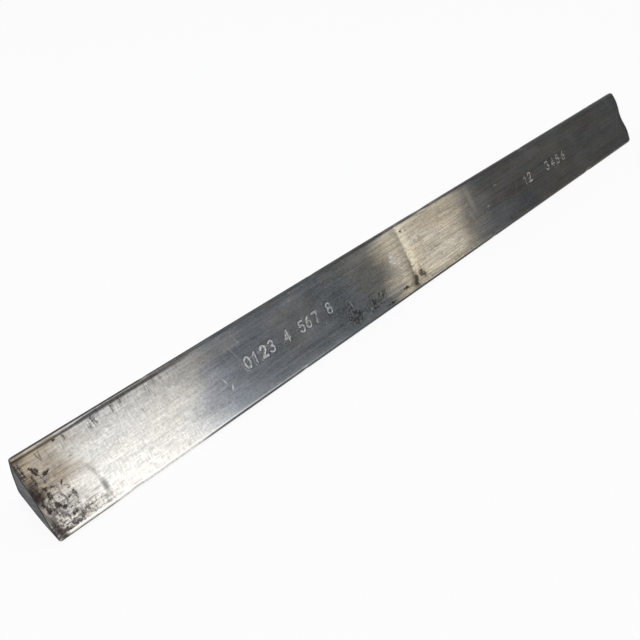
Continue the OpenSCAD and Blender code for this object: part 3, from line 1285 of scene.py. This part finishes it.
def bar_tree():
    """The whole tree, from the named inputs to the finished bar."""
    tree = bpy.data.node_groups.new("solder_bar", "GeometryNodeTree")
    for name, value in INPUTS.items():
        socket = tree.interface.new_socket(name, in_out="INPUT", socket_type="NodeSocketFloat")
        socket.default_value = value
    tree.interface.new_socket("Strokes", in_out="INPUT", socket_type="NodeSocketObject")
    tree.interface.new_socket("Metal", in_out="INPUT", socket_type="NodeSocketMaterial")
    tree.interface.new_socket("Bar", in_out="OUTPUT", socket_type="NodeSocketGeometry")
    given = tree.nodes.new("NodeGroupInput")
    size = {name: out(given, name) for name in [*INPUTS, "Strokes", "Metal"]}
    closed, cut_depth = swept_sheet(tree, size)

    here = out(tree.nodes.new("GeometryNodeInputPosition"))
    here_at = add_node(tree, "ShaderNodeSeparateXYZ", {"Vector": here})
    normal = out(tree.nodes.new("GeometryNodeInputNormal"))
    off = stroke_distance(tree, size)
    relief = stroke_height(size, off) + drawn_height(tree, size, here, out(here_at, "X"), normal)
    relief = relief - size["Knocks"] * knock_depth(tree, here_at)
    push = add_node(tree, "ShaderNodeVectorMath", {"Scale": relief}, operation="SCALE")
    plug(tree, normal, push.inputs[0])
    told = add_node(tree, "GeometryNodeSetPosition", {"Geometry": out(closed), "Offset": out(push)})
    for name, value in (("stamp", 1 - share(off, 0.0, stamp_reach)), ("cut_depth", cut_depth)):
        told = add_node(
            tree,
            "GeometryNodeStoreNamedAttribute",
            {"Geometry": out(told), "Name": name, "Value": value},
            data_type="FLOAT",
            domain="POINT",
        )
    smooth = add_node(tree, "GeometryNodeSetShadeSmooth", {"Geometry": out(told)})
    solid = add_node(tree, "GeometryNodeRealizeInstances", {"Geometry": out(smooth)})
    coated = add_node(
        tree, "GeometryNodeSetMaterial", {"Geometry": out(solid), "Material": size["Metal"]}
    )
    made = tree.nodes.new("NodeGroupOutput")
    plug(tree, out(coated), made.inputs["Bar"])
    return tree


solder_bar_tree = bar_tree()
print("nodes in the bar's tree", len(solder_bar_tree.nodes))

# %% [markdown]
# ### The bar as a mesh
# The tree runs on an empty object, and the result is kept as a plain mesh, so that the finished bar
# carries no modifier. The strokes have done their work then and are removed. The volume is measured
# with its sign, which is positive only when the faces point outwards.


# %% The bar as a mesh
def build(name, tree, inputs):
    """Runs a tree on an empty object and returns the result as a plain mesh object."""
    maker = new_object(name + "_maker", bpy.data.meshes.new(name + "_maker"))
    modifier = maker.modifiers.new(name, "NODES")
    modifier.node_group = tree
    for item in tree.interface.items_tree:
        if item.in_out == "INPUT" and item.name in inputs:
            modifier[item.identifier] = inputs[item.name]
    bpy.context.view_layer.update()
    made = maker.evaluated_get(bpy.context.evaluated_depsgraph_get())
    mesh = bpy.data.meshes.new_from_object(made)
    mesh.name = name
    bpy.data.objects.remove(maker)
    return new_object(name, mesh)


bar = build("solder_bar", solder_bar_tree, {**INPUTS, "Strokes": punch_strokes, "Metal": tin})
bpy.data.objects.remove(punch_strokes)
triangles = sum(len(face.vertices) - 2 for face in bar.data.polygons)
print("bar", len(bar.data.vertices), "points", triangles, "triangles")
print("bar in mm", [round(value / MM, 2) for value in bar.dimensions])

# %% Closed and facing outwards
CUBIC_CM = 1e-6

probe = bmesh.new()
probe.from_mesh(bar.data)
open_edges = sum(1 for edge in probe.edges if not edge.is_manifold)
print("volume", round(probe.calc_volume(signed=True) / CUBIC_CM, 2), "cm3, open edges", open_edges)
probe.free()

# %% Place in the frame
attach(bar, "root")
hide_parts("bar")
print("the bar rides on the root body")

# %% [markdown]
# ## Floor
# The bar lies on white paper, a pale matt sheet that takes the bar's shadow. To the camera, and in the
# metal, part of its light is replaced by plain white, so the background is nearly white without more
# light on the bar. Light Path tells such rays from those that only carry light from place to place.


# %% Rays that are looked along
def looked_along(tree):
    """1 for rays from the camera, and for those that mirrors and glass send on, and otherwise 0."""
    rays = tree.nodes.new("ShaderNodeLightPath")
    kinds = ("Is Camera Ray", "Is Glossy Ray", "Is Transmission Ray")
    seen = sum((out(rays, kind) for kind in kinds), 0.0)
    return calc(tree, "MINIMUM", seen, 1.0)


print("paper and room turn white along these rays")

# %% Paper
paper_albedo = 0.93
paper_roughness = 0.9
paper_white = 0.88

paper = bpy.data.materials.new("floor_paper")
paper.use_nodes = True
sheet = paper.node_tree
matt = sheet.nodes["Principled BSDF"]
matt.inputs["Base Color"].default_value = (paper_albedo, paper_albedo, paper_albedo, 1)
matt.inputs["Roughness"].default_value = paper_roughness
white = add_node(sheet, "ShaderNodeEmission", {"Color": (1, 1, 1, 1), "Strength": 1.0})
mixed = sheet.nodes.new("ShaderNodeMixShader")
plug(sheet, paper_white * looked_along(sheet), mixed.inputs[0])
plug(sheet, out(matt), mixed.inputs[1])
plug(sheet, out(white), mixed.inputs[2])
plug(sheet, out(mixed), sheet.nodes["Material Output"].inputs["Surface"])
print("paper is white by a share of", paper_white)


# %% Floor
def flat_sheet(name, corners, material):
    """A flat sheet with four corners."""
    mesh = bpy.data.meshes.new(name)
    mesh.from_pydata(corners, [], [(0, 1, 2, 3)])
    mesh.materials.append(material)
    return new_object(name, mesh)


floor_reach = 40.0
floor_corners = [
    (-floor_reach, -floor_reach, 0), (floor_reach, -floor_reach, 0),
    (floor_reach, floor_reach, 0), (-floor_reach, floor_reach, 0),
]
floor = flat_sheet("floor", floor_corners, paper)
print("floor", 2 * floor_reach, "m wide")

# %% [markdown]
# ## Light
# Metal shows its surroundings. One large lamp hangs above the table, and two softboxes light the bar
# from the front: a broad one where the near part of the stamped face mirrors it, and a narrow warm one
# where the straw-coloured stretch does. A third one stands behind the bar, for the back face. The
# softboxes stay out of the picture, as they would in a studio, and light linking keeps them off the
# floor, so that the paper stays evenly white.


# %% Light
def softbox(name, place, target, size, radiance, colour=(1, 1, 1)):
    """A flat lamp with this brightness all over, which the camera itself doesn't see."""
    width, height = size
    lamp = bpy.data.lights.new(name, "AREA")
    lamp.shape = "RECTANGLE"
    lamp.size = width
    lamp.size_y = height
    lamp.energy = radiance * math.pi * width * height
    lamp.color = colour
    stand = new_object(name, lamp)
    stand.location = place
    stand.rotation_mode = "QUATERNION"
    stand.rotation_quaternion = (Vector(target) - Vector(place)).to_track_quat("-Z", "Y")
    stand.visible_camera = False
    return stand


WARM_WHITE = (1.0, 0.985, 0.96)
WARM = (1.0, 0.94, 0.84)

# Each lamp's place, target, width and height, radiance and colour
softbox("top_light", (-0.5, -0.1, 1.3), (-0.1, 0, 0), (1.3, 1.2), 1.3)
bar_lights = [
    softbox("front_light", (-0.07, -0.8, 0.145), (-0.07, 0, 0.1), (0.52, 0.29), 2.12, WARM_WHITE),
    softbox("side_light", (0.745, -0.8, 0.2), (0.05, 0, 0.02), (0.15, 0.38), 1.8, WARM),
    softbox("back_light", (-0.45, 0.8, 0.34), (-0.05, 0, 0.01), (0.5, 0.45), 1.5),
]

lit_by_softboxes = bpy.data.collections.new("lit_by_softboxes")
lit_by_softboxes.objects.link(bar)
for stand in bar_lights:
    stand.light_linking.receiver_collection = lit_by_softboxes
print("softboxes on the bar alone", len(bar_lights))

# %% [markdown]
# ## Dark cards
# Polished metal in a pale room looks like white plastic. Photographers set dark cards beside it, and the
# metal mirrors their edges. One card stands behind the front softboxes, so the stretches of the stamped
# face that mirror neither of them are dark and the numbers stand out. A smaller one stands behind the
# bar and gives the back face a dark stretch. The cards show only in the metal.

# %% Dark cards
FELT_GREY = (0.13, 0.137, 0.145)

felt = bpy.data.materials.new("dark_felt")
felt.use_nodes = True
felt_shader = felt.node_tree.nodes["Principled BSDF"]
felt_shader.inputs["Base Color"].default_value = (*FELT_GREY, 1)
felt_shader.inputs["Roughness"].default_value = 1.0
felt_shader.inputs["Specular IOR Level"].default_value = 0.0


def dark_card(name, left, right, y, bottom, top):
    """An upright card that only shows in the metal."""
    corners = [(left, y, bottom), (right, y, bottom), (right, y, top), (left, y, top)]
    card = flat_sheet(name, corners, felt)
    card.visible_camera = False
    card.visible_diffuse = False
    card.visible_shadow = False
    print(name, round(right - left, 2), "m wide")


dark_card("front_card", left=-0.6, right=2.4, y=-0.87, bottom=0.0, top=0.9)
dark_card("back_card", left=-0.1, right=0.7, y=0.95, bottom=0.1, top=1.2)

# %% [markdown]
# ## Room
# The room gives an even, faintly cool light. Along rays that are looked along it is plain white, as the
# paper is, so floor and background run into each other. The view transform is the plain one, so a colour
# renders about as it is written.

# %% Room
room_strength = 0.62
COOL_WHITE = (0.97, 0.985, 1.0)

world = bpy.data.worlds.new("room")
bpy.context.scene.world = world
world.use_nodes = True
room = world.node_tree
backdrop = room.nodes["Background"]
backdrop.inputs["Color"].default_value = (*COOL_WHITE, 1)
plug(room, room_strength + (1 - room_strength) * looked_along(room), backdrop.inputs["Strength"])

bpy.context.scene.view_settings.view_transform = "Standard"
print("room light", room_strength)
